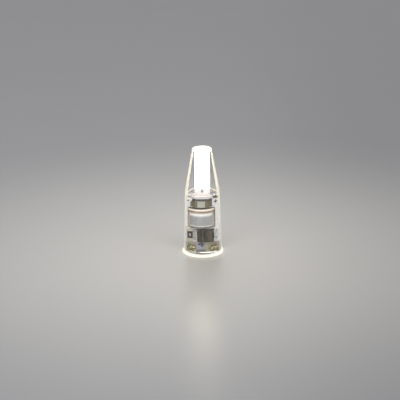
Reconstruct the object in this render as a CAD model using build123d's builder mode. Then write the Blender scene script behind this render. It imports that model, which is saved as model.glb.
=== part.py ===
"""Clear LED capsule bulb with two pins, in millimetres.

A clear moulded cover stands on its foot lip: a straight lower wall and a tapered, hollow upper wall with a flat roof.
Clear silicone fills the lower wall round an upright driver board, which carries the light strip in its top notch and
the two pins in its foot slots. Sizes run from the inside out, so the cover always closes round what it holds.

Origin: centre of the foot plane. +Z points up to the roof, and -Y is the front that shows the rectifier.
"""
import os
from math import hypot, radians, tan

from build123d import *

os.makedirs("parts", exist_ok=True)

# Cover and filling
wall = 0.7
roof = 0.7
wall_draft = 1.5  # degrees, on the outside of the lower wall
lip_reach = 0.38
lip_height = 0.6
lip_bevel = 0.2
roof_bevel = 0.35
fill_over_board = 0.95
shoulder_over_fill = 0.65
board_to_cover = 0.37
strip_to_cover = 0.05
strip_to_roof = 0.4

# Light strip
strip_length = 14.2
strip_width = 4.45
strip_thickness = 0.7
strip_corner = 0.3
strip_in_notch = 0.1  # gap at each side of the notch
strip_over_crossbar = 0.2
strip_joint_radius = 0.8
strip_joint_rise = 0.5
strip_joint_shift = 0.25  # outward from the notch's edge
phosphor_thickness = 0.35
phosphor_margin = 0.12
phosphor_over_fill = 1.3
phosphor_bevel = 0.15

# Driver board
board_thickness = 1.0
board_over_foot = 0.3
board_corner = 0.3
prong_height = 1.1
pad_thickness = 0.05
pad_margin = 0.1
pad_reach = 0.55
resistor_to_edge = 0.15
rectifier_to_edge = 0.7
row_over_joints = 0.7
window_over_row = 0.05
chip_to_crossbar_edge = 0.2
parts_gap = 0.15

# Pins
pin_spacing = 4.0
pin_radius = 0.35
pin_length = 7.0
pin_tip_chamfer = 0.15
pin_tab_width = 0.9
pin_tab_thickness = 0.42
pin_slot_height = 2.5
pin_slot_side_gap = 0.05
pin_to_slot_end = 0.1
pin_joint_radius = 1.25
pin_joint_shift = 0.3  # outward from the pin
pin_joint_rise = 0.55

# Heaps of solder
solder_sides = 8
solder_bevel = 0.35

# Bridge rectifier
rectifier_width = 4.0
rectifier_height = 3.9
rectifier_thickness = 1.9
rectifier_draft = 7  # degrees, from the parting line
rectifier_standoff = 0.1
rectifier_bevel = 0.35
lead_pitch = 2.5
lead_width = 0.62
lead_thickness = 0.2
lead_root = 0.4
lead_shoulder = 0.1
lead_slope = 0.15
lead_foot = 0.4

# Chip resistor and chip ceramic capacitor
resistor_length = 3.3
resistor_width = 1.7
resistor_thickness = 0.5
resistor_cap = 0.5
glaze_thickness = 0.07
glaze_margin = 0.06
ceramic_length = 3.6
ceramic_width = 1.6
ceramic_thickness = 1.25
ceramic_cap = 0.7
ceramic_shift = -0.3
cap_skin = 0.05
cap_bevel = 0.07
solder_reach = 0.5
solder_rise = 0.35
solder_hollow = 0.35  # where the wedge's face bends in, as a share of its reach and rise

# Electrolytic capacitor
can_radius = 2.85
can_length = 5.5
bead_drop = 0.9  # from the can's rim to the middle of its bead
bead_depth = 0.22
bead_half_width = 0.35
rim_width = 0.3
rim_rise = 0.1  # of the rim over the bung
bung_thickness = 0.5
sleeve_thickness = 0.1
sleeve_fold = 0.25
can_shift = -0.3
can_in_window = 0.15
can_to_crossbar = 0.5
wire_radius = 0.225
wire_pitch = 2.0
wire_to_board = 0.1
wire_end_drop = 0.1  # under the top of its joint
can_joint_radius = 0.6
can_joint_rise = 0.62

# Places across the bulb
board_front = -board_thickness / 2
board_back = board_thickness / 2
pad_front = board_front - pad_thickness
pad_back = board_back + pad_thickness
rectifier_mid = board_front - rectifier_standoff - rectifier_thickness / 2
resistor_mid = pad_front - resistor_thickness / 2
ceramic_mid = pad_front - ceramic_thickness / 2
can_y = board_back + wire_to_board + wire_radius
lead_knee = rectifier_width / 2 + lead_shoulder
rectifier_reach = lead_knee + lead_slope + lead_foot
board_width = resistor_to_edge + resistor_width + parts_gap + 2 * rectifier_reach + rectifier_to_edge
board_side = board_width / 2
resistor_x = resistor_to_edge + resistor_width / 2 - board_side
rectifier_x = board_side - rectifier_to_edge - rectifier_reach
pin_x = pin_spacing / 2
pin_joint_spacing = pin_spacing + 2 * pin_joint_shift
pin_slot_width = pin_tab_width + 2 * pin_slot_side_gap
notch_width = strip_width + 2 * strip_in_notch
window_width = 2 * (can_radius + sleeve_thickness + can_in_window)
strip_joint_x = notch_width / 2 + strip_joint_shift

# Heights, from the foot up
pin_slot_top = board_over_foot + pin_slot_height
pin_joint_z = pin_slot_top - pin_joint_radius
row_half = max(rectifier_height / 2, resistor_length / 2 + pad_reach)
row_z = pin_slot_top + row_over_joints + row_half
window_foot = row_z + row_half + window_over_row
can_foot = window_foot + can_in_window + sleeve_thickness
can_top = can_foot + can_length
bead_z = can_top - bead_drop
bung_top = can_top - rim_rise
bung_foot = bung_top - bung_thickness
crossbar_foot = can_top + can_to_crossbar
ceramic_z = crossbar_foot + chip_to_crossbar_edge + ceramic_width / 2
crossbar_top = ceramic_z + ceramic_width / 2 + chip_to_crossbar_edge
can_joint_z = (crossbar_foot + crossbar_top) / 2
strip_foot = crossbar_top + strip_over_crossbar
strip_joint_z = strip_foot + strip_joint_radius
strip_top = strip_foot + strip_length
board_top = crossbar_top + prong_height
fill_top = board_top + fill_over_board
shoulder_z = fill_top + shoulder_over_fill
phosphor_foot = fill_top + phosphor_over_fill
phosphor_top = strip_top - phosphor_margin
ceiling_z = strip_top + strip_to_roof
roof_z = ceiling_z + roof

# Cover radii, which close round the board below the shoulder and round the strip above it
draft_slope = tan(radians(wall_draft))
bore = hypot(board_side, board_back) + board_to_cover
foot_radius = bore + wall + shoulder_z * draft_slope
lip_wall_radius = foot_radius - lip_height * draft_slope
lip_radius = foot_radius + lip_reach
strip_bore = hypot(strip_width / 2, strip_thickness / 2) + strip_to_cover
taper_slope = (bore - strip_bore) / (strip_top - shoulder_z)
ceiling_bore = strip_bore - (ceiling_z - strip_top) * taper_slope
roof_radius = ceiling_bore + wall - roof * taper_slope


def beaded_round(radius, low, high):
    """Half outline of a round piece whose side has the can's inward bead."""
    Polyline(
        (0, low),
        (radius, low),
        (radius, bead_z - bead_half_width),
        (radius - bead_depth, bead_z),
        (radius, bead_z + bead_half_width),
        (radius, high),
        (0, high),
        close=True,
    )


def solder_wedge(end, base):
    """Hollow-faced wedge of solder from a chip's end down to its pad, in a sketch of the chip's side."""
    Polyline(
        (end, base),
        (end + solder_reach, base),
        (end + solder_hollow * solder_reach, base + solder_hollow * solder_rise),
        (end, base + solder_rise),
        close=True,
    )


# Clear cover
with BuildPart() as clear_cover:
    with BuildSketch(Plane.XZ) as cover_section:
        with BuildLine():
            Polyline(
                (bore, 0),
                (lip_radius, 0),
                (lip_radius, lip_height),
                (lip_wall_radius, lip_height),
                (bore + wall, shoulder_z),
                (roof_radius, roof_z),
                (0, roof_z),
                (0, ceiling_z),
                (ceiling_bore, ceiling_z),
                (bore, shoulder_z),
                close=True,
            )
        make_face()
        chamfer(cover_section.vertices().group_by(Axis.X)[-1].sort_by(Axis.Y)[-1], length=lip_bevel)
        chamfer(cover_section.vertices().group_by(Axis.Y)[-1].sort_by(Axis.X)[-1], length=roof_bevel)
    revolve(axis=Axis.Z)

# Driver board: forked at the top for the strip and at the foot for the pins, with a window for the capacitor
with BuildPart() as driver_board:
    with BuildSketch(Plane.XZ) as board_outline:
        with Locations((0, (board_over_foot + board_top) / 2)):
            RectangleRounded(board_width, board_top - board_over_foot, board_corner)
        with Locations((0, board_top)):
            Rectangle(notch_width, 2 * prong_height, mode=Mode.SUBTRACT)
        with Locations((can_shift, (window_foot + crossbar_foot) / 2)):
            RectangleRounded(window_width, crossbar_foot - window_foot, board_corner, mode=Mode.SUBTRACT)
        with Locations((0, board_over_foot)):
            with GridLocations(pin_spacing, 1, 2, 1):
                Rectangle(pin_slot_width, 2 * pin_slot_height, mode=Mode.SUBTRACT)
    extrude(amount=board_thickness / 2, both=True)

# Light strip, and a phosphor coat on each of its faces
with BuildPart() as light_strip:
    with BuildSketch(Plane.XZ):
        with Locations((0, (strip_foot + strip_top) / 2)):
            RectangleRounded(strip_width, strip_length, strip_corner)
    extrude(amount=strip_thickness / 2, both=True)

with BuildPart() as front_phosphor:
    with BuildSketch(Plane.XZ.offset(strip_thickness / 2)):
        with Locations((0, (phosphor_foot + phosphor_top) / 2)):
            Rectangle(strip_width - 2 * phosphor_margin, phosphor_top - phosphor_foot)
    extrude(amount=phosphor_thickness)
    chamfer(front_phosphor.faces().sort_by(Axis.Y)[0].edges(), length=phosphor_bevel)

with BuildPart() as back_phosphor:
    add(mirror(front_phosphor.part, about=Plane.XZ, mode=Mode.PRIVATE))

# Solder that ties the strip's foot to the board's two prongs
with BuildPart() as strip_joints:
    with BuildSketch(Plane.XZ.offset(strip_thickness / 2)):
        with Locations((0, strip_joint_z)):
            with GridLocations(2 * strip_joint_x, 1, 2, 1):
                RegularPolygon(strip_joint_radius, solder_sides)
    extrude(amount=strip_joint_rise)
    chamfer(strip_joints.faces().group_by(Axis.Y)[0].edges(), length=solder_bevel)
    add(driver_board.part, mode=Mode.SUBTRACT)

# Tinned lands under the soldered pieces, front and back
with BuildPart() as board_pads:
    with BuildSketch(Plane.XZ.offset(-board_front)):
        with Locations((rectifier_x, row_z)):
            with GridLocations(2 * rectifier_reach - lead_foot, lead_pitch, 2, 2):
                Rectangle(lead_foot, lead_width + 2 * pad_margin)
        with Locations((resistor_x, row_z)):
            with GridLocations(1, resistor_length + pad_reach - resistor_cap, 1, 2):
                Rectangle(resistor_width, resistor_cap + pad_reach)
        with Locations((ceramic_shift, ceramic_z)):
            with GridLocations(ceramic_length + pad_reach - ceramic_cap, 1, 2, 1):
                Rectangle(ceramic_cap + pad_reach, ceramic_width)
    extrude(amount=pad_thickness)
    with BuildSketch(Plane.XZ.offset(-board_back)):
        with Locations((can_shift, can_joint_z)):
            with GridLocations(wire_pitch, 1, 2, 1):
                RegularPolygon(can_joint_radius + pad_margin, solder_sides)
    extrude(amount=-pad_thickness)

# Bridge rectifier: four bent leads, and a moulded body with draft from its parting line
with BuildPart() as rectifier_leads:
    with BuildSketch(Plane.XY.offset(row_z - lead_pitch / 2)):
        with BuildLine():
            Polyline(
                (rectifier_x + rectifier_width / 2 - lead_root, rectifier_mid),
                (rectifier_x + lead_knee, rectifier_mid),
                (rectifier_x + lead_knee + lead_slope, pad_front),
                (rectifier_x + rectifier_reach, pad_front),
            )
            offset(amount=lead_thickness, side=Side.RIGHT, kind=Kind.INTERSECTION)
        make_face()
    extrude(amount=lead_width / 2, both=True)
    mirror(about=Plane.YZ.offset(rectifier_x))
    mirror(about=Plane.XY.offset(row_z))

with BuildPart() as rectifier_body:
    with BuildSketch(Plane.XZ.offset(-rectifier_mid)):
        with Locations((rectifier_x, row_z)):
            Rectangle(rectifier_width, rectifier_height)
    extrude(amount=rectifier_thickness / 2, both=True, taper=rectifier_draft)
    chamfer(rectifier_body.faces().sort_by(Axis.Y)[0].edges().sort_by(Axis.Z)[-1], length=rectifier_bevel)
    add(rectifier_leads.part, mode=Mode.SUBTRACT)

# Chip resistor: ceramic body, glaze on its front, a tinned cap on each end
with BuildPart() as resistor_body:
    with Locations((resistor_x, resistor_mid, row_z)):
        Box(resistor_width - 2 * cap_skin, resistor_thickness - 2 * cap_skin, resistor_length - 2 * cap_skin)

with BuildPart() as resistor_glaze:
    with BuildSketch(Plane.XZ.offset(resistor_thickness - cap_skin - pad_front)):
        with Locations((resistor_x, row_z)):
            Rectangle(
                resistor_width - 2 * (cap_skin + glaze_margin),
                resistor_length - 2 * (resistor_cap + glaze_margin),
            )
    extrude(amount=glaze_thickness)

with BuildPart() as resistor_ends:
    with Locations((resistor_x, resistor_mid, row_z)):
        Box(resistor_width, resistor_thickness, resistor_length)
    chamfer(resistor_ends.edges(), length=cap_bevel)
    with Locations((resistor_x, resistor_mid, row_z)):
        Box(2 * resistor_width, 2 * resistor_thickness, resistor_length - 2 * resistor_cap, mode=Mode.SUBTRACT)
    add(resistor_body.part, mode=Mode.SUBTRACT)

# Chip ceramic capacitor, lying along the crossbar, with a tinned cap on each end
with BuildPart() as ceramic_body:
    with Locations((ceramic_shift, ceramic_mid, ceramic_z)):
        Box(ceramic_length - 2 * cap_skin, ceramic_thickness - 2 * cap_skin, ceramic_width - 2 * cap_skin)

with BuildPart() as ceramic_ends:
    with Locations((ceramic_shift, ceramic_mid, ceramic_z)):
        Box(ceramic_length, ceramic_thickness, ceramic_width)
    chamfer(ceramic_ends.edges(), length=cap_bevel)
    with Locations((ceramic_shift, ceramic_mid, ceramic_z)):
        Box(ceramic_length - 2 * ceramic_cap, 2 * ceramic_thickness, 2 * ceramic_width, mode=Mode.SUBTRACT)
    add(ceramic_body.part, mode=Mode.SUBTRACT)

# Solder at the ends of both chips
with BuildPart() as chip_joints:
    ceramic_side = Plane((ceramic_shift, 0, ceramic_z), x_dir=(1, 0, 0), z_dir=(0, 0, -1))
    with BuildSketch(ceramic_side):
        with BuildLine():
            solder_wedge(ceramic_length / 2, -pad_front)
        make_face()
        mirror(about=Plane.YZ)
    extrude(amount=ceramic_width / 2 - cap_bevel, both=True)
    resistor_side = Plane((resistor_x, 0, row_z), x_dir=(0, 0, 1), z_dir=(1, 0, 0))
    with BuildSketch(resistor_side):
        with BuildLine():
            solder_wedge(resistor_length / 2, -pad_front)
        make_face()
        mirror(about=Plane.YZ)
    extrude(amount=resistor_width / 2 - cap_bevel, both=True)

# Electrolytic capacitor: beaded can, printed sleeve, rubber bung and two wires up the back of the crossbar
can_axis = Axis((can_shift, can_y, 0), (0, 0, 1))
can_plane = Plane((can_shift, can_y, 0), x_dir=(1, 0, 0), z_dir=(0, -1, 0))
with BuildPart() as capacitor_wires:
    with BuildSketch(Plane.XY.offset(bung_foot)):
        with Locations((can_shift, can_y)):
            with GridLocations(wire_pitch, 1, 2, 1):
                Circle(wire_radius)
    extrude(amount=can_joint_z + can_joint_radius - wire_end_drop - bung_foot)

with BuildPart() as capacitor_can:
    with BuildSketch(can_plane):
        with BuildLine():
            beaded_round(can_radius, can_foot, can_top)
        make_face()
        with Locations((0, can_top)):
            Rectangle(2 * (can_radius - rim_width), 2 * (can_top - bung_foot), mode=Mode.SUBTRACT)
    revolve(axis=can_axis)

with BuildPart() as capacitor_bung:
    with BuildSketch(Plane.XY.offset(bung_foot)):
        with Locations((can_shift, can_y)):
            Circle(can_radius - rim_width)
    extrude(amount=bung_thickness)
    add(capacitor_wires.part, mode=Mode.SUBTRACT)

with BuildPart() as capacitor_sleeve:
    with BuildSketch(can_plane):
        with BuildLine():
            beaded_round(can_radius + sleeve_thickness, can_foot - sleeve_thickness, can_top + sleeve_thickness)
        make_face()
        with BuildLine():
            beaded_round(can_radius, can_foot, can_top)
        make_face(mode=Mode.SUBTRACT)
        with Locations((0, (can_foot + can_top) / 2)):
            Rectangle(2 * (can_radius - sleeve_fold), 2 * can_length, mode=Mode.SUBTRACT)
    revolve(axis=can_axis)

with BuildPart() as capacitor_joints:
    with BuildSketch(Plane.XZ.offset(-pad_back)):
        with Locations((can_shift, can_joint_z)):
            with GridLocations(wire_pitch, 1, 2, 1):
                RegularPolygon(can_joint_radius, solder_sides)
    extrude(amount=-can_joint_rise)
    chamfer(capacitor_joints.faces().group_by(Axis.Y)[-1].edges(), length=solder_bevel)
    add(capacitor_wires.part, mode=Mode.SUBTRACT)

# Pins: round below the foot, coined to a flat tab that lies in the board's slot, and soldered there
with BuildPart() as left_pin:
    with BuildSketch():
        with Locations((-pin_x, 0)):
            Circle(pin_radius)
    extrude(amount=-pin_length)
    chamfer(left_pin.edges().sort_by(Axis.Z)[0], length=pin_tip_chamfer)
    with BuildSketch():
        with Locations((-pin_x, 0)):
            Rectangle(pin_tab_width, pin_tab_thickness)
    extrude(amount=pin_slot_top - pin_to_slot_end)

with BuildPart() as right_pin:
    add(mirror(left_pin.part, about=Plane.YZ, mode=Mode.PRIVATE))

with BuildPart() as pin_joints:
    with BuildSketch(Plane.XZ):
        with Locations((0, pin_joint_z)):
            with GridLocations(pin_spacing, 1, 2, 1):
                Rectangle(pin_slot_width, 2 * pin_joint_radius)
    extrude(amount=board_thickness / 2, both=True)
    with BuildSketch(Plane.XZ.offset(-board_front)):
        with Locations((0, pin_joint_z)):
            with GridLocations(pin_joint_spacing, 1, 2, 1):
                RegularPolygon(pin_joint_radius, solder_sides)
    extrude(amount=pin_joint_rise)
    chamfer(pin_joints.faces().group_by(Axis.Y)[0].edges(), length=solder_bevel)
    mirror(about=Plane.XZ)
    for pin in (left_pin, right_pin):
        add(pin.part, mode=Mode.SUBTRACT)

# Clear silicone round everything that stands in the lower wall
embedded = {
    "driver_board": driver_board,
    "light_strip": light_strip,
    "strip_joints": strip_joints,
    "board_pads": board_pads,
    "rectifier_body": rectifier_body,
    "rectifier_leads": rectifier_leads,
    "resistor_body": resistor_body,
    "resistor_glaze": resistor_glaze,
    "resistor_ends": resistor_ends,
    "ceramic_body": ceramic_body,
    "ceramic_ends": ceramic_ends,
    "chip_joints": chip_joints,
    "capacitor_can": capacitor_can,
    "capacitor_sleeve": capacitor_sleeve,
    "capacitor_bung": capacitor_bung,
    "capacitor_wires": capacitor_wires,
    "capacitor_joints": capacitor_joints,
    "left_pin": left_pin,
    "right_pin": right_pin,
    "pin_joints": pin_joints,
}
with BuildPart() as potting:
    with BuildSketch():
        Circle(bore)
    extrude(amount=fill_top)
    for piece in embedded.values():
        add(piece.part, mode=Mode.SUBTRACT)

pieces = {
    "clear_cover": clear_cover,
    "potting": potting,
    "front_phosphor": front_phosphor,
    "back_phosphor": back_phosphor,
    **embedded,
}
for name, piece in pieces.items():
    piece.part.label = name
    export_step(piece.part, f"parts/{name}.step")
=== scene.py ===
"""Clear LED capsule bulb, lit and standing on its foot, dressed over its CAD frame.

Sizes and places are in millimetres, and MM brings them to metres. Only the stage is in metres.
"""
import math

import bpy
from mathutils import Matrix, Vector


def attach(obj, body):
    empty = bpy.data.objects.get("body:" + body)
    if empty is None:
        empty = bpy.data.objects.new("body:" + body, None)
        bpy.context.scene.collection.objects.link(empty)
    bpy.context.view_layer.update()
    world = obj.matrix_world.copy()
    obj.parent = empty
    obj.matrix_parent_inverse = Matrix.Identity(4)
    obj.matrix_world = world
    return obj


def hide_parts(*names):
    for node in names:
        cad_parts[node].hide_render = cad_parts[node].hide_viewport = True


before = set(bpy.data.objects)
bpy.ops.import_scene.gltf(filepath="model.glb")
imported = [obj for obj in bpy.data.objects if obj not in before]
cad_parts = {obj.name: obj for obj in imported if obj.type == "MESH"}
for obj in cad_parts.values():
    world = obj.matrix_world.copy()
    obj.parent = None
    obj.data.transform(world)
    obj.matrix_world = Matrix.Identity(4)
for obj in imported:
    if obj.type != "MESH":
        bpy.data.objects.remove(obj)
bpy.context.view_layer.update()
MM = 0.001
SIDES = (-1, 1)
UPRIGHT = (math.radians(90), 0, 0)

# How many flats stand for a full round
BODY_FLATS = 256
CAN_FLATS = 96
PIN_FLATS = 48
HEAP_FLATS = 28

# Clear body: radii and heights, as the CAD frame has them
BORE = 4.401
WALL_AT_SHOULDER = 5.101
WALL_AT_LIP = 5.58
LIP = 5.975
LIP_TOP = 0.6
SHOULDER_Z = 18.9
CEILING = 2.23
CEILING_Z = 31.0
ROOF = 2.804
ROOF_Z = 31.7
FILL_Z = 18.25

# Driver board, light strip and pins
BOARD_FRONT = -0.5
LAND_FRONT = -0.55
FORK_X = 2.6
FOOT_MIDDLE_X = -0.45
CROSSBAR_Z = 15.2
STRIP_FRONT = -0.35
COAT_Y = 0.525
COAT_Z = 25.015
COAT_SIZE = (4.21, 0.35, 10.93)
PIN_X = 2.0
PIN_RINGS = [(0.14, -7.0), (0.25, -6.96), (0.32, -6.87), (0.35, -6.73), (0.35, 0.0)]
TAB_Z = 1.35
TAB_SIZE = (0.9, 0.42, 2.7)

# Big capacitor: its bead is a groove rolled round can and sleeve, as (rise, depth)
CAN_X = -0.3
CAN_Y = 0.825
CAN_FOOT = 8.2
CAN_TOP = 13.7
CAN = 2.85
CAN_MOUTH = 2.55
SLEEVE = 2.95
SLEEVE_FOLD = 2.6
BUNG_FOOT = CAN_TOP - 0.6
BEAD_Z = 12.8
BEAD = [
    (0.35, 0.0), (0.24, 0.05), (0.12, 0.16), (0.0, 0.22), (-0.12, 0.16), (-0.24, 0.05), (-0.35, 0.0)
]

# Rectifier and resistor in the lower row, and the ceramic on the crossbar
ROW_Z = 5.7
CASE_X = 0.65
CASE_Y = -1.55
CASE_SIZE = (4.0, 1.9, 3.9)
LEG_ROOT = 1.6
LEG_Y = CASE_Y - 0.1
LEG_FOOT_Y = -0.65
LEG_WIDTH = 0.62
LEG_THICKNESS = 0.2
RESISTOR_X = -3.0
RESISTOR_END = 1.65
RESISTOR_CAP_Y = -0.8
RESISTOR_CAP_OFF = 1.4
RESISTOR_CAP_SIZE = (1.7, 0.5, 0.5)
GLAZE_Y = -1.035
GLAZE_FRONT = -1.07
GLAZE_SIZE = (1.48, 0.07, 2.18)
CERAMIC_X = -0.3
CERAMIC_Y = -1.175
CERAMIC_SIZE = (3.5, 1.15, 1.68)
CERAMIC_END = 1.8
CERAMIC_CAP_OFF = 1.33
CERAMIC_CAP_SIZE = (0.94, 1.25, 1.8)
FILLET_WIDTH = 1.6
FILLET_REACH = 0.5

# Thickness of the ink, how brightly the strip glows, and how strongly the hazes of the clear body
# give off painted glow
INK = 0.02
LED_GLOW = 8.0
LIP_GLOW = 0.42
WALL_GLOW = 0.6
ROOF_GLOW = 0.75
SKIN_GLOW = 0.4
EDGE_GLOW = 0.3

# Shares of a mottle at which its dark tone and its light tone are full
ALL_DARK = 0.3
ALL_LIGHT = 0.7

# Stage, in metres
FLOOR_SIZE = 6
FLOOR_Z = -0.00003
# Reach of the painted pool of light on the floor
PAINTED_POOL_NEAR = 0.005
PAINTED_POOL_FAR = 0.13
LAMP_AIM = Vector((0, 0, 0.015))
LAMP_SIZE = 0.5
CAMERA_AIM = Vector((-0.0007, 0, 0.01585))
CAMERA_REACH = 0.441
CAMERA_TILT = math.radians(18.5)
CAMERA_ROLL = math.radians(-0.66)
LIGHT_BOUNCES = 32


# Hand tools

def spot(x, y, z):
    """A place in metres."""
    return x * MM, y * MM, z * MM


def begin():
    """Leave edit mode and let go of everything."""
    if bpy.context.object and bpy.context.object.mode != "OBJECT":
        bpy.ops.object.mode_set(mode="OBJECT")
    bpy.ops.object.select_all(action="DESELECT")


def fix_place():
    bpy.ops.object.transform_apply(location=True, rotation=True, scale=True)


def open_mesh(scale=(1, 1, 1)):
    """Put the new primitive's place and size into its mesh, and open it with all of it selected."""
    piece = bpy.context.object
    piece.scale = scale
    fix_place()
    bpy.ops.object.mode_set(mode="EDIT")
    bpy.ops.mesh.select_all(action="SELECT")
    return piece


def face_outwards():
    bpy.ops.mesh.select_all(action="SELECT")
    bpy.ops.mesh.remove_doubles(threshold=1e-7)
    bpy.ops.mesh.normals_make_consistent(inside=False)


def close_mesh():
    face_outwards()
    bpy.ops.object.mode_set(mode="OBJECT")


def pull(x, y, z):
    """Extrude what is selected."""
    bpy.ops.mesh.extrude_region_move(TRANSFORM_OT_translate={"value": spot(x, y, z)})


def pick(piece, kind, wanted):
    """Select, in edit mode, the faces or edges whose middle is wanted."""
    bpy.ops.object.mode_set(mode="EDIT")
    bpy.ops.mesh.select_mode(type=kind)
    bpy.ops.mesh.select_all(action="DESELECT")
    bpy.ops.object.mode_set(mode="OBJECT")
    points = piece.data.vertices
    for item in piece.data.polygons if kind == "FACE" else piece.data.edges:
        middle = sum((points[i].co for i in item.vertices), Vector()) / len(item.vertices) / MM
        item.select = wanted(middle)
    bpy.ops.object.mode_set(mode="EDIT")


def apply_modifiers(piece):
    bpy.context.view_layer.objects.active = piece
    for modifier in list(piece.modifiers):
        bpy.ops.object.modifier_apply(modifier=modifier.name)


def soften(piece, width, segments, angle):
    """Round the piece's edges that are sharper than this angle, and smooth its faces."""
    begin()
    piece.select_set(True)
    bevel = piece.modifiers.new("edge rounding", "BEVEL")
    bevel.width = width * MM
    bevel.segments = segments
    bevel.limit_method = "ANGLE"
    bevel.angle_limit = math.radians(angle)
    bpy.context.view_layer.objects.active = piece
    bpy.ops.object.shade_smooth()
    weighted = piece.modifiers.new("flat faces kept flat", "WEIGHTED_NORMAL")
    weighted.weight = 100
    apply_modifiers(piece)
    return piece


def joined(pieces):
    begin()
    for piece in pieces:
        piece.select_set(True)
    bpy.context.view_layer.objects.active = pieces[0]
    bpy.ops.object.join()
    return bpy.context.object


def settle(piece, name, finish, replaced=()):
    """Name the piece, fix its place, give it its finish and let it ride on the bulb."""
    begin()
    piece.select_set(True)
    bpy.context.view_layer.objects.active = piece
    fix_place()
    piece.name = name
    piece.data.name = name
    piece.data.materials.clear()
    piece.data.materials.append(finish)
    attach(piece, "root")
    if replaced:
        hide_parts(*replaced)


# Shapes

def turned(rings, flats, centre=(0, 0), closed_ring=False):
    """A round piece drawn ring by ring from the first (radius, height) to the last."""
    (radius, height), *rest = rings
    x, y = centre
    begin()
    bpy.ops.mesh.primitive_circle_add(
        vertices=flats,
        radius=radius * MM,
        fill_type="NOTHING" if closed_ring else "NGON",
        location=spot(x, y, height),
    )
    piece = open_mesh()
    for next_radius, next_height in rest + ([rings[0]] if closed_ring else []):
        pull(0, 0, next_height - height)
        share = next_radius / radius
        bpy.ops.transform.resize(
            value=(share, share, 1), center_override=spot(x, y, next_height)
        )
        radius, height = next_radius, next_height
    close_mesh()
    return piece


def block(place, size):
    """A box to be worked further."""
    begin()
    bpy.ops.mesh.primitive_cube_add(size=MM, location=spot(*place))
    piece = bpy.context.object
    piece.scale = size
    fix_place()
    return piece


def heap(place, radius, rise, facing, seed):
    """A rounded heap of solder on an upright face that looks along Y, drawn in as it rises."""
    middle = spot(*place)
    begin()
    bpy.ops.mesh.primitive_circle_add(
        vertices=HEAP_FLATS,
        radius=radius * MM,
        fill_type="NGON",
        location=middle,
        rotation=UPRIGHT,
    )
    piece = open_mesh()
    width, height = 1.0, 0.0
    for next_width, next_height in (
        (0.93, 0.2), (0.8, 0.48), (0.6, 0.75), (0.36, 0.93), (0.14, 1.0)
    ):
        pull(0, facing * (next_height - height) * rise, 0)
        share = next_width / width
        bpy.ops.transform.resize(value=(share, 1, share), center_override=middle)
        width, height = next_width, next_height
    bpy.ops.mesh.select_all(action="SELECT")
    bpy.ops.transform.vertex_random(
        offset=0.1 * radius * MM, uniform=0.3, normal=0.0, seed=seed
    )
    close_mesh()
    smooth = piece.modifiers.new("solder flow", "SUBSURF")
    smooth.levels = 2
    smooth.render_levels = 2
    apply_modifiers(piece)
    bpy.ops.object.shade_smooth()
    return piece


def leg(side, z):
    """A gull-wing leg: out of the case, down to the board and out along its land."""
    x, y = CASE_X + side * LEG_ROOT, LEG_Y
    begin()
    bpy.ops.mesh.primitive_plane_add(
        size=MM, location=spot(x, y, z), rotation=(0, math.radians(90), 0)
    )
    piece = open_mesh((LEG_WIDTH, LEG_THICKNESS, 1))
    for out, next_y, mitre in (
        (2.186, LEG_Y, 41), (2.336, LEG_FOOT_Y, 0), (2.65, LEG_FOOT_Y, -41)
    ):
        next_x = CASE_X + side * out
        pull(next_x - x, next_y - y, 0)
        bpy.ops.transform.rotate(
            value=-side * math.radians(mitre),
            orient_axis="Z",
            center_override=spot(next_x, next_y, z),
        )
        x, y = next_x, next_y
    close_mesh()
    return soften(piece, 0.06, segments=3, angle=20)


def fillet(x, z, along):
    """Solder drawn up in a hollow from the land to a chip's end; along is the way out from it."""
    edge = Vector((x, LAND_FRONT, z)) * MM
    out = Vector((along[0], 0, along[1]))
    begin()
    bpy.ops.mesh.primitive_plane_add(
        size=MM, location=edge + out * FILLET_REACH / 2 * MM, rotation=UPRIGHT
    )
    piece = open_mesh(
        (FILLET_REACH, FILLET_WIDTH, 1) if along[0] else (FILLET_WIDTH, FILLET_REACH, 1)
    )
    for share, rise in ((0.62, 0.05), (0.55, 0.08), (0.5, 0.1), (0.4, 0.12)):
        pull(0, -rise, 0)
        bpy.ops.transform.resize(
            value=(share, 1, 1) if along[0] else (1, 1, share), center_override=edge
        )
    close_mesh()
    return soften(piece, 0.012, segments=2, angle=30)


def printed_cross(place, size):
    """A plus of thin ink: a grid of nine with its corners cut away."""
    x, y, z = place
    half_bar = size / 6
    begin()
    bpy.ops.mesh.primitive_grid_add(
        x_subdivisions=3,
        y_subdivisions=3,
        size=size * MM,
        location=spot(x, y, z),
        rotation=UPRIGHT,
    )
    piece = open_mesh()
    pick(piece, "FACE", lambda at: abs(at.x - x) > half_bar and abs(at.z - z) > half_bar)
    bpy.ops.mesh.delete(type="FACE")
    bpy.ops.mesh.select_all(action="SELECT")
    pull(0, -INK, 0)
    close_mesh()
    return piece


def printed_bar(place, width, height):
    """A bar of thin ink with rounded corners."""
    begin()
    bpy.ops.mesh.primitive_plane_add(size=MM, location=spot(*place), rotation=UPRIGHT)
    piece = open_mesh((width, height, 1))
    bpy.ops.mesh.bevel(offset=0.35 * min(width, height) * MM, segments=4, affect="VERTICES")
    bpy.ops.mesh.select_all(action="SELECT")
    pull(0, -INK, 0)
    close_mesh()
    return piece


def printed_number(text, place, size, turn, weight):
    """A plain number in thin ink."""
    x, y, z = place
    begin()
    bpy.ops.object.text_add(location=(0, 0, 0))
    letters = bpy.context.object.data
    letters.body = text
    letters.size = size * MM
    letters.align_x = "CENTER"
    letters.align_y = "CENTER"
    letters.extrude = INK * MM / 2
    letters.offset = weight * MM
    bpy.ops.object.convert(target="MESH")
    piece = bpy.context.object
    piece.rotation_euler = (math.radians(90), math.radians(turn), 0)
    piece.location = spot(x, y - INK / 2, z)
    fix_place()
    bpy.ops.object.mode_set(mode="EDIT")
    face_outwards()
    bpy.ops.mesh.dissolve_degenerate(threshold=2e-6)
    bpy.ops.object.mode_set(mode="OBJECT")
    return piece


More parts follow.
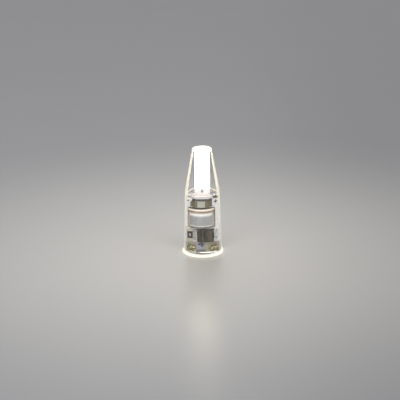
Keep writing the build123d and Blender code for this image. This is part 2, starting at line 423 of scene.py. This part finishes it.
def soft_lamp(name, place, power):
    lamp = bpy.data.lights.new(name, "AREA")
    lamp.shape = "RECTANGLE"
    lamp.size = LAMP_SIZE
    lamp.size_y = LAMP_SIZE
    lamp.energy = power
    holder = bpy.data.objects.new(name, lamp)
    bpy.context.scene.collection.objects.link(holder)
    holder.location = place
    holder.rotation_euler = (LAMP_AIM - Vector(place)).to_track_quat("-Z", "Y").to_euler()


# Finishes: what their nodes have in common

def open_finish(name):
    finish = bpy.data.materials.new(name)
    finish.use_nodes = True
    tree = finish.node_tree
    return finish, tree, tree.nodes["Principled BSDF"], tree.nodes["Material Output"]


def set_shader(shader, **values):
    for socket, value in values.items():
        shader.inputs[socket.replace("_", " ")].default_value = value


def place_pattern(tree, stretch=(1, 1, 1)):
    place = tree.nodes.new("ShaderNodeTexCoord")
    mapping = tree.nodes.new("ShaderNodeMapping")
    mapping.inputs["Scale"].default_value = stretch
    tree.links.new(place.outputs["Object"], mapping.inputs["Vector"])
    return mapping.outputs["Vector"]


def place_axes(tree):
    place = tree.nodes.new("ShaderNodeTexCoord")
    axes = tree.nodes.new("ShaderNodeSeparateXYZ")
    tree.links.new(place.outputs["Object"], axes.inputs["Vector"])
    return axes.outputs


def grain(tree, size, detail=3.0, stretch=(1, 1, 1)):
    """A mottle whose spots are about this many millimetres across."""
    noise = tree.nodes.new("ShaderNodeTexNoise")
    noise.inputs["Scale"].default_value = 1 / (size * MM)
    noise.inputs["Detail"].default_value = detail
    tree.links.new(place_pattern(tree, stretch), noise.inputs["Vector"])
    return noise.outputs["Fac"]


def from_axis(tree):
    """How far a place is from the bulb's axis."""
    reach = tree.nodes.new("ShaderNodeVectorMath")
    reach.operation = "LENGTH"
    tree.links.new(place_pattern(tree, (1, 1, 0)), reach.inputs[0])
    return reach.outputs["Value"]


def eased(tree, value, low, high, below, above, kind="SMOOTHSTEP"):
    """A share that goes from one value to another while the value given goes from low to high."""
    spread = tree.nodes.new("ShaderNodeMapRange")
    spread.interpolation_type = kind
    spread.inputs["From Min"].default_value = low
    spread.inputs["From Max"].default_value = high
    spread.inputs["To Min"].default_value = below
    spread.inputs["To Max"].default_value = above
    tree.links.new(value, spread.inputs["Value"])
    return spread.outputs["Result"]


def between(tree, spots, in_dark, in_light):
    return eased(tree, spots, ALL_DARK, ALL_LIGHT, in_dark, in_light, "LINEAR")


def by_height(tree, low, high, below, above, kind="SMOOTHSTEP"):
    """A share that goes from one value to another between two heights."""
    return eased(tree, place_axes(tree)["Z"], low * MM, high * MM, below, above, kind)


def from_middle(tree, x, near, far, within, beyond):
    """A share that goes from one value to another on both sides of an upright line."""
    off = tree.nodes.new("ShaderNodeMath")
    off.operation = "SUBTRACT"
    off.inputs[1].default_value = x * MM
    across = tree.nodes.new("ShaderNodeMath")
    across.operation = "ABSOLUTE"
    tree.links.new(place_axes(tree)["X"], off.inputs[0])
    tree.links.new(off.outputs["Value"], across.inputs[0])
    return eased(tree, across.outputs["Value"], near * MM, far * MM, within, beyond)


def worked_out(tree, operation, first, second):
    result = tree.nodes.new("ShaderNodeMath")
    result.operation = operation
    tree.links.new(first, result.inputs[0])
    tree.links.new(second, result.inputs[1])
    return result.outputs["Value"]


def times(tree, first, second):
    return worked_out(tree, "MULTIPLY", first, second)


def plus(tree, first, second):
    return worked_out(tree, "ADD", first, second)


def shades(tree, fac, stops):
    """Colours laid out along a share, each with its place."""
    ramp = tree.nodes.new("ShaderNodeValToRGB")
    places = ramp.color_ramp.elements
    while len(places) < len(stops):
        places.new(0.5)
    for place, (at, colour) in zip(places, stops):
        place.position = at
        place.color = (*colour, 1)
    tree.links.new(fac, ramp.inputs["Fac"])
    return ramp.outputs["Color"]


def two_tone(tree, spots, dark, light):
    return shades(tree, spots, [(ALL_DARK, dark), (ALL_LIGHT, light)])


def blended(tree, share, under, over):
    mix = tree.nodes.new("ShaderNodeMix")
    mix.data_type = "RGBA"
    tree.links.new(share, mix.inputs["Factor"])
    tree.links.new(under, mix.inputs["A"])
    tree.links.new(over, mix.inputs["B"])
    return mix.outputs["Result"]


def laid_over(tree, share, under, over):
    mix = tree.nodes.new("ShaderNodeMixShader")
    tree.links.new(share, mix.inputs["Fac"])
    tree.links.new(under, mix.inputs[1])
    tree.links.new(over, mix.inputs[2])
    return mix.outputs["Shader"]


def relief(tree, shader, height, depth, strength=1.0):
    bump = tree.nodes.new("ShaderNodeBump")
    bump.inputs["Distance"].default_value = depth * MM
    bump.inputs["Strength"].default_value = strength
    tree.links.new(height, bump.inputs["Height"])
    tree.links.new(bump.outputs["Normal"], shader.inputs["Normal"])


# Finishes: clear body

def haze_with_painted_glow(tree, colour, light, strength, kind="Translucent"):
    """A haze with a painted glow that stands in for the strip's light led to it through the clear
    body.
    """
    haze = tree.nodes.new("ShaderNodeBsdf" + kind)
    haze.inputs["Color"].default_value = (*colour, 1)
    glow = tree.nodes.new("ShaderNodeEmission")
    glow.inputs["Color"].default_value = (*light, 1)
    glow.inputs["Strength"].default_value = strength
    both = tree.nodes.new("ShaderNodeAddShader")
    tree.links.new(haze.outputs["BSDF"], both.inputs[0])
    tree.links.new(glow.outputs["Emission"], both.inputs[1])
    return both.outputs["Shader"]


def outer_face(tree):
    """One on the cover's outer face, and nought on its bore."""
    taper = by_height(tree, SHOULDER_Z, ROOF_Z, 0.0, (WALL_AT_SHOULDER - ROOF) * MM, "LINEAR")
    middle = (BORE + WALL_AT_SHOULDER) / 2
    straightened = plus(tree, from_axis(tree), taper)
    return eased(tree, straightened, (middle - 0.1) * MM, (middle + 0.1) * MM, 0.0, 1.0)


def wall_veil(tree, body):
    """Haze on the outer face where it is seen edge on, over the roof, and in the frosted lip, each
    with a painted glow.
    """
    edge_on = tree.nodes.new("ShaderNodeLayerWeight")
    edge_on.inputs["Blend"].default_value = 0.5
    facing = edge_on.outputs["Facing"]
    in_cone = by_height(tree, 17.0, 19.0, 0.0, 1.0)
    below_cone = by_height(tree, 17.0, 19.0, 1.0, 0.0)
    more_upwards = by_height(tree, 1.0, 18.0, 0.4, 0.8)
    cone = times(tree, eased(tree, facing, 0.4, 0.5, 0.0, 0.75), in_cone)
    lower = times(tree, eased(tree, facing, 0.48, 0.64, 0.0, 1.0), more_upwards)
    lower = times(tree, lower, below_cone)
    share = times(tree, plus(tree, cone, lower), outer_face(tree))
    wall_haze = haze_with_painted_glow(tree, (0.4, 0.39, 0.34), (1.0, 0.97, 0.85), WALL_GLOW)
    wall = laid_over(tree, share, body, wall_haze)
    roof = by_height(tree, CEILING_Z + 0.3, ROOF_Z - 0.15, 0.0, 0.7)
    roof_haze = haze_with_painted_glow(tree, (1.0, 0.97, 0.9), (1.0, 0.97, 0.9), ROOF_GLOW)
    wall = laid_over(tree, roof, wall, roof_haze)
    lip = by_height(tree, LIP_TOP - 0.08, LIP_TOP + 0.05, 0.95, 0.0)
    lip_haze = haze_with_painted_glow(tree, (0.9, 0.88, 0.82), (1.0, 0.95, 0.86), LIP_GLOW)
    return laid_over(tree, lip, wall, lip_haze)


def meniscus_veil(tree, body):
    """A cloudy skin on the filling's top, most in its middle, and a milky edge up the wall, both
    with a painted glow.
    """
    top = by_height(tree, FILL_Z - 0.05, FILL_Z - 0.01, 0.0, 1.0)
    cloud = times(tree, top, from_middle(tree, 0, 2.1, 2.4, 0.5, 0.18))
    skin_haze = haze_with_painted_glow(tree, (0.4, 0.38, 0.39), (1.0, 0.95, 0.98), SKIN_GLOW, "Diffuse")
    skin = laid_over(tree, cloud, body, skin_haze)
    rim = by_height(tree, FILL_Z + 0.015, FILL_Z + 0.08, 0.0, 0.7)
    rim_haze = haze_with_painted_glow(tree, (1.0, 0.96, 0.84), (1.0, 0.95, 0.8), EDGE_GLOW, "Diffuse")
    return laid_over(tree, rim, skin, rim_haze)


def clear(name, colour, ior, ripple, depth, veil):
    """A clear finish that lets lamplight through, with a faint ripple under a veil of haze."""
    finish, tree, shader, out = open_finish(name)
    set_shader(shader, Base_Color=(*colour, 1), Transmission_Weight=1.0, IOR=ior)
    flow = grain(tree, ripple, 2.0, (1, 1, 0.35))
    tree.links.new(between(tree, flow, 0.0, 0.03), shader.inputs["Roughness"])
    relief(tree, shader, flow, depth, 0.5)
    body = veil(tree, shader.outputs["BSDF"])
    path = tree.nodes.new("ShaderNodeLightPath")
    through = tree.nodes.new("ShaderNodeBsdfTransparent")
    through.inputs["Color"].default_value = (*colour, 1)
    whole = laid_over(tree, path.outputs["Is Shadow Ray"], body, through.outputs["BSDF"])
    tree.links.new(whole, out.inputs["Surface"])
    return finish


# Finishes: driver, light strip and floor

def mottled(name, dark, light, size, rough, metallic=0.0, depth=0.0, stretch=(1, 1, 1), **sockets):
    """A finish of two near tones, with its gloss and relief from the same mottle."""
    finish, tree, shader, _ = open_finish(name)
    spots = grain(tree, size, 4.0, stretch)
    tree.links.new(two_tone(tree, spots, dark, light), shader.inputs["Base Color"])
    tree.links.new(between(tree, spots, rough[1], rough[0]), shader.inputs["Roughness"])
    if depth:
        relief(tree, shader, spots, depth)
    set_shader(shader, Metallic=metallic, **sockets)
    return finish


def ink(name, dark, light):
    return mottled(name, dark, light, size=0.1, rough=(0.5, 0.65))


def lit_phosphor():
    """Yellow phosphor that gives off warm white light, a little unevenly."""
    finish, tree, shader, _ = open_finish("lit_phosphor")
    spots = grain(tree, 0.25, 3.0)
    coat = two_tone(tree, spots, (0.95, 0.83, 0.5), (1.0, 0.9, 0.62))
    light = two_tone(tree, spots, (1.0, 0.9, 0.72), (1.0, 0.94, 0.8))
    tree.links.new(coat, shader.inputs["Base Color"])
    tree.links.new(light, shader.inputs["Emission Color"])
    set_shader(shader, Roughness=0.5, Emission_Strength=LED_GLOW)
    return finish


def sleeve_print_and_painted_light():
    """Bronze shrink sleeve with a broad grey stripe on its front, with painted highlights on its
    top fold, below the bead and near its foot, and painted shade in the bead's groove and at its
    foot.
    """
    finish, tree, shader, _ = open_finish("sleeve_print_and_painted_light")
    axes = place_axes(tree)
    left = eased(tree, axes["X"], (CAN_X - 2.6) * MM, (CAN_X - 2.5) * MM, 0.0, 1.0)
    right = eased(tree, axes["X"], (CAN_X + 2.4) * MM, (CAN_X + 2.5) * MM, 1.0, 0.0)
    front = eased(tree, axes["Y"], (CAN_Y - 0.05) * MM, (CAN_Y + 0.05) * MM, 1.0, 0.0)
    below = eased(tree, axes["Z"], (BEAD_Z - 0.42) * MM, (BEAD_Z - 0.34) * MM, 1.0, 0.0)
    stripe = times(tree, times(tree, left, right), times(tree, front, below))
    height = by_height(tree, CAN_FOOT - 0.1, CAN_TOP + 0.1, 0.0, 1.0, "LINEAR")
    # Painted light on the bronze: painted shade at the foot and in the bead's groove, and a painted
    # highlight on the top fold
    bronze_with_painted_light = shades(
        tree,
        height,
        [
            (0.0, (0.16, 0.15, 0.13)),
            (0.06, (0.6, 0.54, 0.48)),
            (0.76, (0.56, 0.44, 0.36)),
            (0.82, (0.36, 0.29, 0.24)),
            (0.89, (0.42, 0.34, 0.28)),
            (0.92, (0.9, 0.79, 0.7)),
        ],
    )
    # Painted light on the grey stripe: painted shade at its foot, a painted highlight just above
    # it, and a white painted highlight just below the bead
    grey = shades(
        tree,
        height,
        [
            (0.0, (0.1, 0.1, 0.09)),
            (0.045, (0.12, 0.12, 0.11)),
            (0.08, (0.78, 0.78, 0.74)),
            (0.15, (0.37, 0.38, 0.38)),
            (0.58, (0.37, 0.38, 0.4)),
            (0.7, (0.95, 0.95, 0.97)),
        ],
    )
    tree.links.new(blended(tree, stripe, bronze_with_painted_light, grey), shader.inputs["Base Color"])
    spots = grain(tree, 0.4, 4.0, (1, 1, 0.3))
    tree.links.new(between(tree, spots, 0.24, 0.36), shader.inputs["Roughness"])
    return finish


def board_print():
    """White solder mask: olive and brown towards the foot, with painted shade in lilac between the
    pins, olive on the left tip beside the strip, and painted shade in brown on the right tip.
    """
    finish, tree, shader, _ = open_finish("board_mask")
    spots = grain(tree, 0.8, 4.0)
    white = two_tone(tree, spots, (0.76, 0.77, 0.8), (0.83, 0.84, 0.86))
    olive = two_tone(tree, spots, (0.2, 0.19, 0.13), (0.32, 0.3, 0.22))
    # Lilac is painted shade, laid between the pins at the foot
    lilac_painted_shade = two_tone(tree, spots, (0.21, 0.21, 0.28), (0.28, 0.28, 0.37))
    brown = two_tone(tree, spots, (0.07, 0.06, 0.05), (0.13, 0.115, 0.095))
    between_pins = from_middle(tree, FOOT_MIDDLE_X, 0.6, 1.1, 1.0, 0.0)
    foot = blended(tree, between_pins, olive, lilac_painted_shade)
    foot = blended(tree, by_height(tree, 0.7, 1.5, 1.0, 0.0), foot, brown)
    colour = blended(tree, by_height(tree, 3.0, 3.9, 1.0, 0.0), white, foot)
    left = from_middle(tree, -FORK_X, 1.0, 2.0, 1.0, 0.0)
    left_tip = times(tree, by_height(tree, 17.1, 17.25, 0.0, 1.0), left)
    # The right tip's brown is painted shade beside the strip's foot
    right = from_middle(tree, FORK_X, 1.0, 2.0, 1.0, 0.0)
    right_tip_painted_shade = times(tree, by_height(tree, 16.75, 16.95, 0.0, 1.0), right)
    colour = blended(tree, left_tip, colour, olive)
    colour = blended(tree, right_tip_painted_shade, colour, brown)
    tree.links.new(colour, shader.inputs["Base Color"])
    tree.links.new(between(tree, spots, 0.3, 0.5), shader.inputs["Roughness"])
    relief(tree, shader, spots, 0.004)
    return finish


def solder_with_painted_glints():
    """Solder gone olive with flux, with bright flecks that are painted glints, most of them low
    down.
    """
    finish, tree, shader, _ = open_finish("solder_painted_glints")
    spots = grain(tree, 0.4, 3.0)
    # The brightest stop paints glints; low down the share is raised so that more of them show there
    colour = shades(
        tree,
        plus(tree, spots, by_height(tree, 0.5, 1.2, 0.1, 0.0)),
        [
            (0.38, (0.04, 0.032, 0.01)),
            (0.48, (0.19, 0.16, 0.06)),
            (0.58, (0.28, 0.24, 0.1)),
            (0.66, (0.95, 0.9, 0.74)),
        ],
    )
    tree.links.new(colour, shader.inputs["Base Color"])
    tree.links.new(between(tree, spots, 0.4, 0.14), shader.inputs["Roughness"])
    relief(tree, shader, spots, 0.09)
    set_shader(shader, Metallic=0.55)
    return finish


def strip_joints_with_painted_light():
    """Solder at the strip's foot: pale as a painted highlight on the left joint, and dark as
    painted shade on the right one.
    """
    finish, tree, shader, _ = open_finish("strip_joint_solder")
    spots = grain(tree, 0.3, 4.0)
    # The pale tone is a painted highlight on the left joint, and the dark tone is painted shade on
    # the right one
    pale = two_tone(tree, spots, (0.5, 0.47, 0.38), (0.68, 0.64, 0.54))
    dull = two_tone(tree, spots, (0.04, 0.036, 0.022), (0.15, 0.135, 0.085))
    left = from_middle(tree, -FORK_X, 1.0, 2.0, 1.0, 0.0)
    tree.links.new(blended(tree, left, dull, pale), shader.inputs["Base Color"])
    tree.links.new(between(tree, spots, 0.65, 0.5), shader.inputs["Roughness"])
    relief(tree, shader, spots, 0.02)
    set_shader(shader, Metallic=0.2, Specular_IOR_Level=0.2)
    return finish


def streaked_moulding():
    """Black moulding with fine upright streaks of brown."""
    finish, tree, shader, _ = open_finish("moulding_black")
    streaks = grain(tree, 0.38, 3.0, (1, 1, 0.07))
    colour = shades(
        tree,
        streaks,
        [
            (0.42, (0.0, 0.0, 0.0)),
            (0.52, (0.02, 0.016, 0.007)),
            (0.66, (0.11, 0.088, 0.046)),
        ],
    )
    tree.links.new(colour, shader.inputs["Base Color"])
    tree.links.new(between(tree, streaks, 0.65, 0.5), shader.inputs["Roughness"])
    relief(tree, shader, streaks, 0.015)
    set_shader(shader, Specular_IOR_Level=0.12)
    return finish


def floor_with_painted_light_pool():
    """Plain pale grey, with a painted pool of light round the bulb's foot."""
    finish, tree, shader, _ = open_finish("floor_finish")
    away = eased(tree, from_axis(tree), PAINTED_POOL_NEAR, PAINTED_POOL_FAR, 0.0, 1.0)
    colour = shades(tree, away, [(0.0, (0.62, 0.6, 0.56)), (1.0, (0.29, 0.29, 0.3))])
    tree.links.new(colour, shader.inputs["Base Color"])
    tree.links.new(between(tree, grain(tree, 40), 0.32, 0.36), shader.inputs["Roughness"])
    return finish


cover_plastic = clear(
    "cover_plastic", (1.0, 1.0, 0.995), ior=1.5, ripple=2.5, depth=0.004, veil=wall_veil
)
cast_silicone = clear(
    "cast_silicone", (0.995, 0.99, 0.965), ior=1.41, ripple=1.6, depth=0.001, veil=meniscus_veil
)
phosphor_finish = lit_phosphor()
# The strip's ceramic has a faint painted glow, standing in for the strip's light scattered in it
strip_ceramic = mottled(
    "strip_ceramic", (0.58, 0.55, 0.58), (0.66, 0.63, 0.66),
    size=0.3, rough=(0.45, 0.6), depth=0.005,
    Emission_Color=(1.0, 0.95, 0.99, 1), Emission_Strength=0.1,
)
board_mask = board_print()
solder_painted_glints = solder_with_painted_glints()
tinned_olive = mottled(
    "tinned_olive", (0.14, 0.125, 0.07), (0.26, 0.23, 0.14),
    size=0.25, rough=(0.3, 0.5), metallic=0.7, depth=0.006,
)
tinned_grey = mottled(
    "tinned_grey", (0.18, 0.17, 0.12), (0.42, 0.4, 0.31),
    size=0.45, rough=(0.4, 0.6), metallic=0.5, depth=0.03,
)
tinned_warm = mottled(
    "tinned_warm", (0.5, 0.45, 0.37), (0.72, 0.67, 0.59),
    size=0.4, rough=(0.3, 0.45), metallic=0.3, depth=0.006,
)
tinned_bright = mottled(
    "tinned_bright", (0.8, 0.79, 0.77), (0.93, 0.92, 0.9),
    size=0.25, rough=(0.16, 0.3), metallic=0.9, depth=0.004,
)
strip_joint_solder = strip_joints_with_painted_light()
moulding_black = streaked_moulding()
chip_white = mottled(
    "chip_white", (0.72, 0.7, 0.64), (0.8, 0.78, 0.73),
    size=0.2, rough=(0.5, 0.65), depth=0.005,
)
glaze_black = mottled(
    "glaze_black", (0.008, 0.006, 0.004), (0.018, 0.014, 0.009),
    size=0.3, rough=(0.2, 0.35), depth=0.004, Specular_IOR_Level=0.2,
)
chip_grey = mottled(
    "chip_grey", (0.4, 0.4, 0.37), (0.48, 0.48, 0.44),
    size=0.2, rough=(0.4, 0.55), depth=0.005,
)
can_metal = mottled(
    "can_metal", (0.66, 0.66, 0.67), (0.78, 0.78, 0.79),
    size=0.2, rough=(0.22, 0.36), metallic=1.0, depth=0.003, stretch=(1, 1, 6),
)
bung_rubber = mottled(
    "bung_rubber", (0.03, 0.028, 0.027), (0.05, 0.047, 0.045),
    size=0.15, rough=(0.7, 0.85), depth=0.01,
)
pin_metal = mottled(
    "pin_metal", (0.58, 0.57, 0.54), (0.72, 0.71, 0.68),
    size=0.2, rough=(0.2, 0.35), metallic=1.0, depth=0.004, stretch=(1, 1, 0.15),
)
dark_ink = ink("dark_ink", (0.022, 0.024, 0.05), (0.045, 0.048, 0.08))
painted_shadow_ink = ink("painted_shadow_ink", (0.03, 0.024, 0.018), (0.06, 0.05, 0.04))
grey_ink = ink("grey_ink", (0.12, 0.12, 0.14), (0.16, 0.16, 0.18))
pale_ink = ink("pale_ink", (0.75, 0.74, 0.7), (0.85, 0.84, 0.8))
sleeve_with_painted_light = sleeve_print_and_painted_light()

# Pieces that stay as the CAD frame has them get their finish only
for node, finish in {
    "driver_board": board_mask,
    "board_pads": tinned_olive,
    "light_strip": strip_ceramic,
    "resistor_body": chip_white,
    "capacitor_wires": tinned_bright,
}.items():
    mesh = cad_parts[node].data
    mesh.materials.clear()
    mesh.materials.append(finish)

# Clear cover: from the ceiling down the inside to the foot, round the lip, and up to the roof
cover = turned(
    [
        (CEILING, CEILING_Z),
        (BORE, SHOULDER_Z),
        (BORE, 0.0),
        (LIP, 0.0),
        (LIP, LIP_TOP),
        (WALL_AT_LIP, LIP_TOP),
        (WALL_AT_SHOULDER, SHOULDER_Z),
        (ROOF, ROOF_Z),
    ],
    flats=BODY_FLATS,
)
soften(cover, 0.18, segments=4, angle=8)
settle(cover, "cover", cover_plastic, ["clear_cover"])

# Silicone filling, a hair into the wall so that no air shows, and drawn a little up it where it set
filling = turned(
    [
        (BORE + 0.02, 0.0),
        (BORE + 0.02, FILL_Z + 0.18),
        (BORE - 0.05, FILL_Z + 0.1),
        (BORE - 0.14, FILL_Z + 0.045),
        (BORE - 0.26, FILL_Z + 0.014),
        (BORE - 0.42, FILL_Z),
    ],
    flats=BODY_FLATS,
)
soften(filling, 0.02, segments=1, angle=60)
settle(filling, "filling", cast_silicone, ["potting"])

# Capacitor: can, sleeve and bung
can = turned(
    [(CAN_MOUTH, BUNG_FOOT), (CAN_MOUTH, CAN_TOP), (CAN - 0.15, CAN_TOP), (CAN, CAN_TOP - 0.2)]
    + [(CAN - depth, BEAD_Z + rise) for rise, depth in BEAD]
    + [(CAN, CAN_FOOT), (CAN_MOUTH, CAN_FOOT), (CAN_MOUTH - 0.12, CAN_FOOT + 0.15)],
    flats=CAN_FLATS,
    centre=(CAN_X, CAN_Y),
)
soften(can, 0.05, segments=3, angle=40)
settle(can, "can", can_metal, ["capacitor_can"])
sleeve = turned(
    [
        (SLEEVE_FOLD, CAN_TOP),
        (SLEEVE_FOLD + 0.04, CAN_TOP + 0.09),
        (SLEEVE - 0.17, CAN_TOP + 0.06),
        (SLEEVE - 0.06, CAN_TOP - 0.05),
        (SLEEVE, CAN_TOP - 0.22),
    ]
    + [(SLEEVE - depth, BEAD_Z + rise) for rise, depth in BEAD]
    + [
        (SLEEVE, CAN_FOOT - 0.1),
        (SLEEVE_FOLD, CAN_FOOT - 0.1),
        (SLEEVE_FOLD, CAN_FOOT),
        (CAN, CAN_FOOT),
    ]
    + [(CAN - depth, BEAD_Z + rise) for rise, depth in reversed(BEAD)]
    + [(CAN, CAN_TOP - 0.2), (CAN - 0.15, CAN_TOP)],
    flats=CAN_FLATS,
    centre=(CAN_X, CAN_Y),
    closed_ring=True,
)
soften(sleeve, 0.03, segments=3, angle=40)
settle(sleeve, "sleeve", sleeve_with_painted_light, ["capacitor_sleeve"])
bung = turned(
    [(CAN_MOUTH, BUNG_FOOT), (CAN_MOUTH, CAN_TOP - 0.1), (CAN_MOUTH - 0.2, CAN_TOP - 0.1)],
    flats=CAN_FLATS,
    centre=(CAN_X, CAN_Y),
)
soften(bung, 0.05, segments=3, angle=40)
settle(bung, "bung", bung_rubber, ["capacitor_bung"])

# Light strip's coats
for face, coat_name, node in (
    (-1, "front_coat", "front_phosphor"), (1, "back_coat", "back_phosphor")
):
    coat = soften(block((0, face * COAT_Y, COAT_Z), COAT_SIZE), 0.14, segments=5, angle=30)
    settle(coat, coat_name, phosphor_finish, [node])

# Rectifier: case with draft both ways from its parting line and a chamfer on top, and four legs
case = block((CASE_X, CASE_Y, ROW_Z), CASE_SIZE)
case_middle = Vector((CASE_X, CASE_Y, ROW_Z)) * MM
bpy.ops.object.mode_set(mode="EDIT")
bpy.ops.mesh.select_all(action="SELECT")
bpy.ops.mesh.bisect(plane_co=case_middle, plane_no=(0, 1, 0))
for face in SIDES:
    pick(case, "FACE", lambda at: (at.y - CASE_Y) * face > 0.9)
    bpy.ops.transform.resize(value=(0.942, 1, 0.94), center_override=case_middle)
pick(case, "EDGE", lambda at: at.y < CASE_Y - 0.9 and at.z > ROW_Z + 1.7)
bpy.ops.mesh.bevel(offset=0.34 * MM, segments=1)
bpy.ops.object.mode_set(mode="OBJECT")
soften(case, 0.08, segments=3, angle=25)
settle(case, "case", moulding_black, ["rectifier_body"])
legs = joined([leg(side, ROW_Z + rise) for side in SIDES for rise in (-1.25, 1.25)])
settle(legs, "legs", tinned_bright, ["rectifier_leads"])

# Chip resistor's glaze and caps, chip ceramic and its caps, and the solder at their ends
glaze = soften(block((RESISTOR_X, GLAZE_Y, ROW_Z), GLAZE_SIZE), 0.03, segments=3, angle=30)
settle(glaze, "glaze", glaze_black, ["resistor_glaze"])
resistor_caps = joined(
    [
        soften(
            block((RESISTOR_X, RESISTOR_CAP_Y, ROW_Z + end * RESISTOR_CAP_OFF), RESISTOR_CAP_SIZE),
            0.07,
            segments=3,
            angle=30,
        )
        for end in SIDES
    ]
)
settle(resistor_caps, "resistor_caps", tinned_warm, ["resistor_ends"])
ceramic = soften(
    block((CERAMIC_X, CERAMIC_Y, CROSSBAR_Z), CERAMIC_SIZE), 0.06, segments=3, angle=30
)
settle(ceramic, "ceramic", chip_grey, ["ceramic_body"])
ceramic_caps = joined(
    [
        soften(
            block((CERAMIC_X + end * CERAMIC_CAP_OFF, CERAMIC_Y, CROSSBAR_Z), CERAMIC_CAP_SIZE),
            0.12,
            segments=4,
            angle=30,
        )
        for end in SIDES
    ]
)
settle(ceramic_caps, "ceramic_caps", tinned_olive, ["ceramic_ends"])
ceramic_solder = joined(
    [fillet(CERAMIC_X + end * CERAMIC_END, CROSSBAR_Z, (end, 0)) for end in SIDES]
)
settle(ceramic_solder, "ceramic_solder", tinned_olive, ["chip_joints"])
resistor_solder = joined(
    [fillet(RESISTOR_X, ROW_Z + end * RESISTOR_END, (0, end)) for end in SIDES]
)
settle(resistor_solder, "resistor_solder", tinned_warm)

# Pins: round shank with a rounded tip, and the flat tab in the board's slot
for side, pin_name in ((-1, "left_shank"), (1, "right_shank")):
    shank = turned(PIN_RINGS, flats=PIN_FLATS, centre=(side * PIN_X, 0))
    soften(shank, 0.03, segments=2, angle=30)
    tab = soften(block((side * PIN_X, 0, TAB_Z), TAB_SIZE), 0.08, segments=3, angle=30)
    pin_piece = joined([shank, tab])
    settle(pin_piece, pin_name, pin_metal, [pin_name.replace("shank", "pin")])

# Solder
pin_lands = joined(
    [printed_bar((x, BOARD_FRONT, 1.85), width, 3.0) for x, width in ((-2.65, 2.6), (1.95, 3.1))]
)
settle(pin_lands, "pin_lands", tinned_grey)
pin_solder = joined(
    [
        heap(
            (side * 2.4 - 0.1, face * 0.5, 1.5),
            radius=1.23,
            rise=0.55,
            facing=face,
            seed=3 * side + face + 10,
        )
        for side in SIDES
        for face in SIDES
    ]
)
settle(pin_solder, "pin_solder", solder_painted_glints, ["pin_joints"])
strip_solder = joined(
    [
        heap((side * 2.62, -0.36, 17.5), radius=0.5, rise=0.48, facing=-1, seed=side + 20)
        for side in SIDES
    ]
)
settle(strip_solder, "strip_solder", strip_joint_solder, ["strip_joints"])
wire_solder = joined(
    [
        heap((CAN_X + side, 0.55, CROSSBAR_Z), radius=0.6, rise=0.62, facing=1, seed=side + 30)
        for side in SIDES
    ]
)
settle(wire_solder, "wire_solder", solder_painted_glints, ["capacitor_joints"])

# Ink, and bars of painted shadow
plus_mark = printed_cross((2.95, BOARD_FRONT, 15.9), 0.95)
settle(plus_mark, "plus_mark", dark_ink)
minus_mark = printed_bar((-3.3, BOARD_FRONT, 16.2), 0.75, 0.34)
settle(minus_mark, "minus_mark", dark_ink)
# Painted shadow: dark brown bars at the gap where the strip's foot meets the crossbar, thicker at
# both ends
strip_foot_painted_shadow = joined(
    [printed_bar((-0.05, STRIP_FRONT, 16.53), 4.2, 0.26)]
    + [printed_bar((x, STRIP_FRONT - INK, 16.62), 0.65, 0.44) for x in (-1.85, 1.75)]
)
settle(strip_foot_painted_shadow, "strip_foot_painted_shadow", painted_shadow_ink)
crossbar_painted_shadow = joined(
    [printed_bar((-0.15, BOARD_FRONT, 16.2), 4.4, 0.4)]
    + [printed_bar((x, BOARD_FRONT - INK, 16.15), 0.65, 0.5) for x in (-2.05, 1.75)]
)
settle(crossbar_painted_shadow, "crossbar_painted_shadow", painted_shadow_ink)
pin_number = printed_number("4", (FOOT_MIDDLE_X, BOARD_FRONT, 2.7), 2.3, turn=0, weight=0.12)
settle(pin_number, "pin_number", dark_ink)
resistor_number = printed_number(
    "101", (RESISTOR_X, GLAZE_FRONT, ROW_Z), 0.62, turn=90, weight=0.03
)
settle(resistor_number, "resistor_number", pale_ink)
foot_mark = joined(
    [
        printed_bar((-0.05, STRIP_FRONT, z), 0.7, tall)
        for z, tall in ((17.75, 0.8), (18.57, 0.45), (19.22, 0.56))
    ]
)
settle(foot_mark, "foot_mark", grey_ink)

# Stage: pale floor, soft lamps and the photograph's camera
begin()
bpy.ops.mesh.primitive_plane_add(size=FLOOR_SIZE, location=(0, 0, FLOOR_Z))
floor = bpy.context.object
floor.name = "floor"
# The floor has a painted pool of light round the bulb's foot
floor.data.materials.append(floor_with_painted_light_pool())

scene = bpy.context.scene
scene.world = bpy.data.worlds.new("studio")
scene.world.use_nodes = True
daylight = scene.world.node_tree.nodes["Background"]
daylight.inputs["Color"].default_value = (0.53, 0.53, 0.54, 1)
daylight.inputs["Strength"].default_value = 0.8

soft_lamp("key", (-0.4, -0.6, 0.4), 2.1)
soft_lamp("fill", (0.45, -0.5, 0.4), 1.9)
soft_lamp("back", (-0.15, 0.6, 0.45), 0.8)

lens = bpy.data.cameras.new("camera")
lens.lens = 135
lens.sensor_width = 36
lens.clip_start = 0.01
camera = bpy.data.objects.new("camera", lens)
scene.collection.objects.link(camera)
bpy.context.scene.camera = camera
back_and_up = Vector((0, -math.cos(CAMERA_TILT), math.sin(CAMERA_TILT)))
camera.location = CAMERA_AIM + CAMERA_REACH * back_and_up
camera.rotation_euler = (CAMERA_AIM - camera.location).to_track_quat("-Z", "Y").to_euler()
camera.rotation_euler.rotate_axis("Z", CAMERA_ROLL)

scene.view_settings.view_transform = "Standard"
scene.cycles.max_bounces = LIGHT_BOUNCES
scene.cycles.transmission_bounces = LIGHT_BOUNCES
scene.cycles.transparent_max_bounces = LIGHT_BOUNCES
